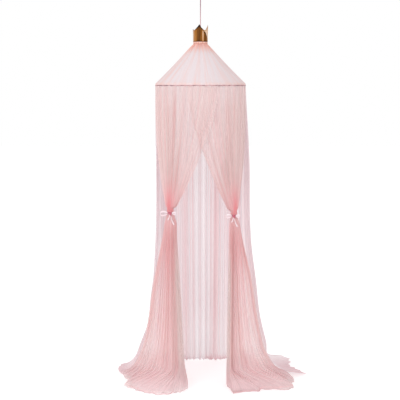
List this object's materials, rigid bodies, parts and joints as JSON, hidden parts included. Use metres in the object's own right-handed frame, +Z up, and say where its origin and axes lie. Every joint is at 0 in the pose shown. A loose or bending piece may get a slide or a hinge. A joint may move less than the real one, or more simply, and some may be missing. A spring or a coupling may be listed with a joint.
{
  "type": "bed crown canopy",
  "caption": "Hanging bed canopy: a pointed crown band and a cloth cone on a hoop, with sheer floor-length curtains tied back in front.",
  "frame": {"origin": "centre of the ceiling plate's flat upper face, which lies against the ceiling", "axes": "+Z up, out of the ceiling plate's upper face; the open front of the canopy looks along -Y; +X is to the right for someone who faces the front"},
  "size_m": [1.3175, 0.7006, 2.6739],
  "materials": {
    "plate_white": "satin",
    "hook_steel": "satin",
    "cord_rose": "matte",
    "hub_plastic": "satin",
    "crown_gold": "satin",
    "crown_lining": "matte",
    "neck_cloth": "matte",
    "roof_cloth": "matte",
    "hoop_rod": "satin",
    "ferrule_plastic": "satin",
    "sleeve_cloth": "matte",
    "seam_rose": "matte",
    "front_tulle": "matte",
    "back_tulle": "matte",
    "ribbon_satin": "satin"
  },
  "bodies": {
    "ceiling_fixture": {"ceiling_plate": "plate_white", "ceiling_hook": "hook_steel"},
    "eye_link": {"cord_eye": "cord_rose", "eye_knot": "cord_rose"},
    "cord": {"hanging_cord": "cord_rose", "stopper_knot": "cord_rose"},
    "canopy": {"top_hub": "hub_plastic", "crown_band": "crown_gold", "crown_lining": "crown_lining", "neck_band": "neck_cloth", "roof_cover": "roof_cloth", "hoop_sleeve": "sleeve_cloth", "seam_piping": "seam_rose", "curtain_left": "front_tulle", "curtain_right": "front_tulle", "curtain_back_left": "back_tulle", "curtain_back_centre": "back_tulle", "curtain_back_right": "back_tulle", "hoop_rod_1": "hoop_rod", "hoop_ferrule_1": "ferrule_plastic", "hoop_rod_2": "hoop_rod", "hoop_ferrule_2": "ferrule_plastic", "hoop_rod_3": "hoop_rod", "hoop_ferrule_3": "ferrule_plastic", "hoop_rod_4": "hoop_rod", "hoop_ferrule_4": "ferrule_plastic", "left_tie_band": "ribbon_satin", "left_bow_knot": "ribbon_satin", "left_bow_loop_outer": "ribbon_satin", "left_bow_loop_inner": "ribbon_satin", "left_bow_tail_long": "ribbon_satin", "left_bow_tail_short": "ribbon_satin", "right_tie_band": "ribbon_satin", "right_bow_knot": "ribbon_satin", "right_bow_loop_outer": "ribbon_satin", "right_bow_loop_inner": "ribbon_satin", "right_bow_tail_long": "ribbon_satin", "right_bow_tail_short": "ribbon_satin"}
  },
  "joints": [
    {"name": "sway_front_back", "type": "hinge", "parent": "ceiling_fixture", "child": "eye_link", "pos_m": [0, 0, -0.04959], "axis": [1, 0, 0], "range_deg": [-4, 4]},
    {"name": "sway_side", "type": "hinge", "parent": "eye_link", "child": "cord", "pos_m": [0, 0, -0.09589], "axis": [0, 1, 0], "range_deg": [-4, 4]},
    {"name": "turn", "type": "hinge", "parent": "cord", "child": "canopy", "pos_m": [0, 0, -0.39189], "axis": [0, 0, 1], "range_deg": [-180, 180]}
  ]
}
